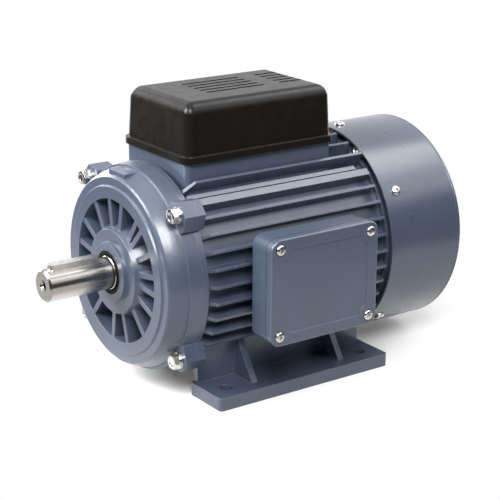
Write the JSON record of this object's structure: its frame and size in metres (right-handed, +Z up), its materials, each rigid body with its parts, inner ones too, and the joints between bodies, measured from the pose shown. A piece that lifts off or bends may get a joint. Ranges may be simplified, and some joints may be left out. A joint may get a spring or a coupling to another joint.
{
  "type": "electric motor",
  "caption": "Foot-mounted, fan-cooled electric motor with a finned frame, capacitor cover on top, terminal box at the side, keyed shaft and a centrifugal switch inside.",
  "frame": {"origin": "centre of the foot-hole rectangle, on the plane the feet stand on", "axes": "+X along the shaft from the drive end to the fan end, -Y towards the terminal box, +Z up"},
  "size_m": [0.3293, 0.2028, 0.2171],
  "materials": {
    "blue_grey_paint": "satin blue-grey enamel on castings",
    "cowl_paint": "satin blue-grey enamel on pressed sheet",
    "cover_plastic": "satin near-black moulded plastic",
    "zinc_plated_steel": "bright zinc plate",
    "gasket_rubber": "matt black",
    "seal_rubber": "matt black",
    "shaft_steel": "ground steel",
    "key_steel": "drawn steel",
    "bearing_steel": "polished",
    "cage_steel": "pressed",
    "core_steel": "stacked laminations",
    "copper_winding": "varnished enamelled copper",
    "cast_aluminium": "as cast",
    "fan_plastic": "matt black",
    "start_capacitor_case": "gloss black",
    "run_capacitor_case": "off-white",
    "cradle_plastic": "matt grey",
    "board_resin": "brown moulding",
    "terminal_brass": "drawn brass",
    "stamped_steel": "pressed and plated",
    "collar_plastic": "natural nylon",
    "switch_resin": "laminated board",
    "contact_silver": "silver contact"
  },
  "bodies": {
    "stator": {"motor_frame": "blue_grey_paint", "drive_end_shield": "blue_grey_paint", "drive_end_bolts": "zinc_plated_steel", "drive_end_washers": "zinc_plated_steel", "drive_end_lock_washers": "zinc_plated_steel", "shaft_seal": "seal_rubber", "de_bearing_outer_ring": "bearing_steel", "nde_bearing_outer_ring": "bearing_steel", "preload_washer": "cage_steel", "fan_end_shield": "blue_grey_paint", "fan_end_bolts": "zinc_plated_steel", "fan_end_washers": "zinc_plated_steel", "fan_cowl": "cowl_paint", "cowl_screws": "zinc_plated_steel", "capacitor_cover": "cover_plastic", "cover_gasket": "gasket_rubber", "cover_screws": "zinc_plated_steel", "start_capacitor": "start_capacitor_case", "run_capacitor": "run_capacitor_case", "capacitor_cradles": "cradle_plastic", "terminal_box_gasket": "gasket_rubber", "terminal_box": "blue_grey_paint", "terminal_box_screws": "zinc_plated_steel", "lid_gasket": "gasket_rubber", "terminal_box_lid": "blue_grey_paint", "lid_screws": "zinc_plated_steel", "terminal_board": "board_resin", "board_screws": "zinc_plated_steel", "terminal_studs": "terminal_brass", "terminal_links": "terminal_brass", "terminal_nuts": "terminal_brass", "earth_screw": "terminal_brass", "stator_core": "core_steel", "stator_windings": "copper_winding", "switch_board": "switch_resin", "switch_board_screws": "zinc_plated_steel", "fixed_contact": "contact_silver"},
    "rotor": {"shaft": "shaft_steel", "shaft_key": "key_steel", "rotor_core": "core_steel", "rotor_cage": "cast_aluminium", "cooling_fan": "fan_plastic", "fan_pin": "zinc_plated_steel", "fan_circlip": "cage_steel", "de_bearing_inner_ring": "bearing_steel", "nde_bearing_inner_ring": "bearing_steel", "governor_hub": "stamped_steel", "governor_stop_ring": "cage_steel", "flyweight_pins": "zinc_plated_steel"},
    "drive_end_balls": {"de_bearing_balls": "bearing_steel", "de_bearing_cage": "cage_steel"},
    "fan_end_balls": {"nde_bearing_balls": "bearing_steel", "nde_bearing_cage": "cage_steel"},
    "collar": {"governor_collar": "collar_plastic"},
    "weight_a": {"flyweight_a": "stamped_steel"},
    "weight_b": {"flyweight_b": "stamped_steel"},
    "contact_arm": {"switch_arm": "terminal_brass"}
  },
  "joints": [
    {"name": "shaft_spin", "type": "hinge", "parent": "stator", "child": "rotor", "pos_m": [0, 0, 0.09], "axis": [1, 0, 0], "continuous": true},
    {"name": "de_cage_spin", "type": "hinge", "parent": "stator", "child": "drive_end_balls", "pos_m": [0, 0, 0.09], "axis": [1, 0, 0], "continuous": true},
    {"name": "nde_cage_spin", "type": "hinge", "parent": "stator", "child": "fan_end_balls", "pos_m": [0, 0, 0.09], "axis": [1, 0, 0], "continuous": true},
    {"name": "governor_slide", "type": "slide", "parent": "rotor", "child": "collar", "axis": [-1, 0, 0], "range_m": [0, 0.003], "stiffness_N_per_m": 400, "springref_m": -0.003},
    {"name": "weight_a_pivot", "type": "hinge", "parent": "rotor", "child": "weight_a", "pos_m": [0.077, 0.028, 0.09], "axis": [0, 0, -1], "range_deg": [0, 16]},
    {"name": "weight_b_pivot", "type": "hinge", "parent": "rotor", "child": "weight_b", "pos_m": [0.077, -0.028, 0.09], "axis": [0, 0, 1], "range_deg": [0, 16]},
    {"name": "contact_arm_pivot", "type": "hinge", "parent": "stator", "child": "contact_arm", "pos_m": [0.0844, -0.032, 0.09], "axis": [0, 0, 1], "range_deg": [0, 12.2]}
  ],
  "couplings": [
    {"joint": "de_cage_spin", "follows": "shaft_spin", "ratio": 0.3969},
    {"joint": "nde_cage_spin", "follows": "shaft_spin", "ratio": 0.3815},
    {"joint": "weight_a_pivot", "follows": "governor_slide", "rad_per_m": 92.07},
    {"joint": "weight_b_pivot", "follows": "governor_slide", "rad_per_m": 92.07},
    {"joint": "contact_arm_pivot", "follows": "governor_slide", "rad_per_m": 69.5}
  ]
}
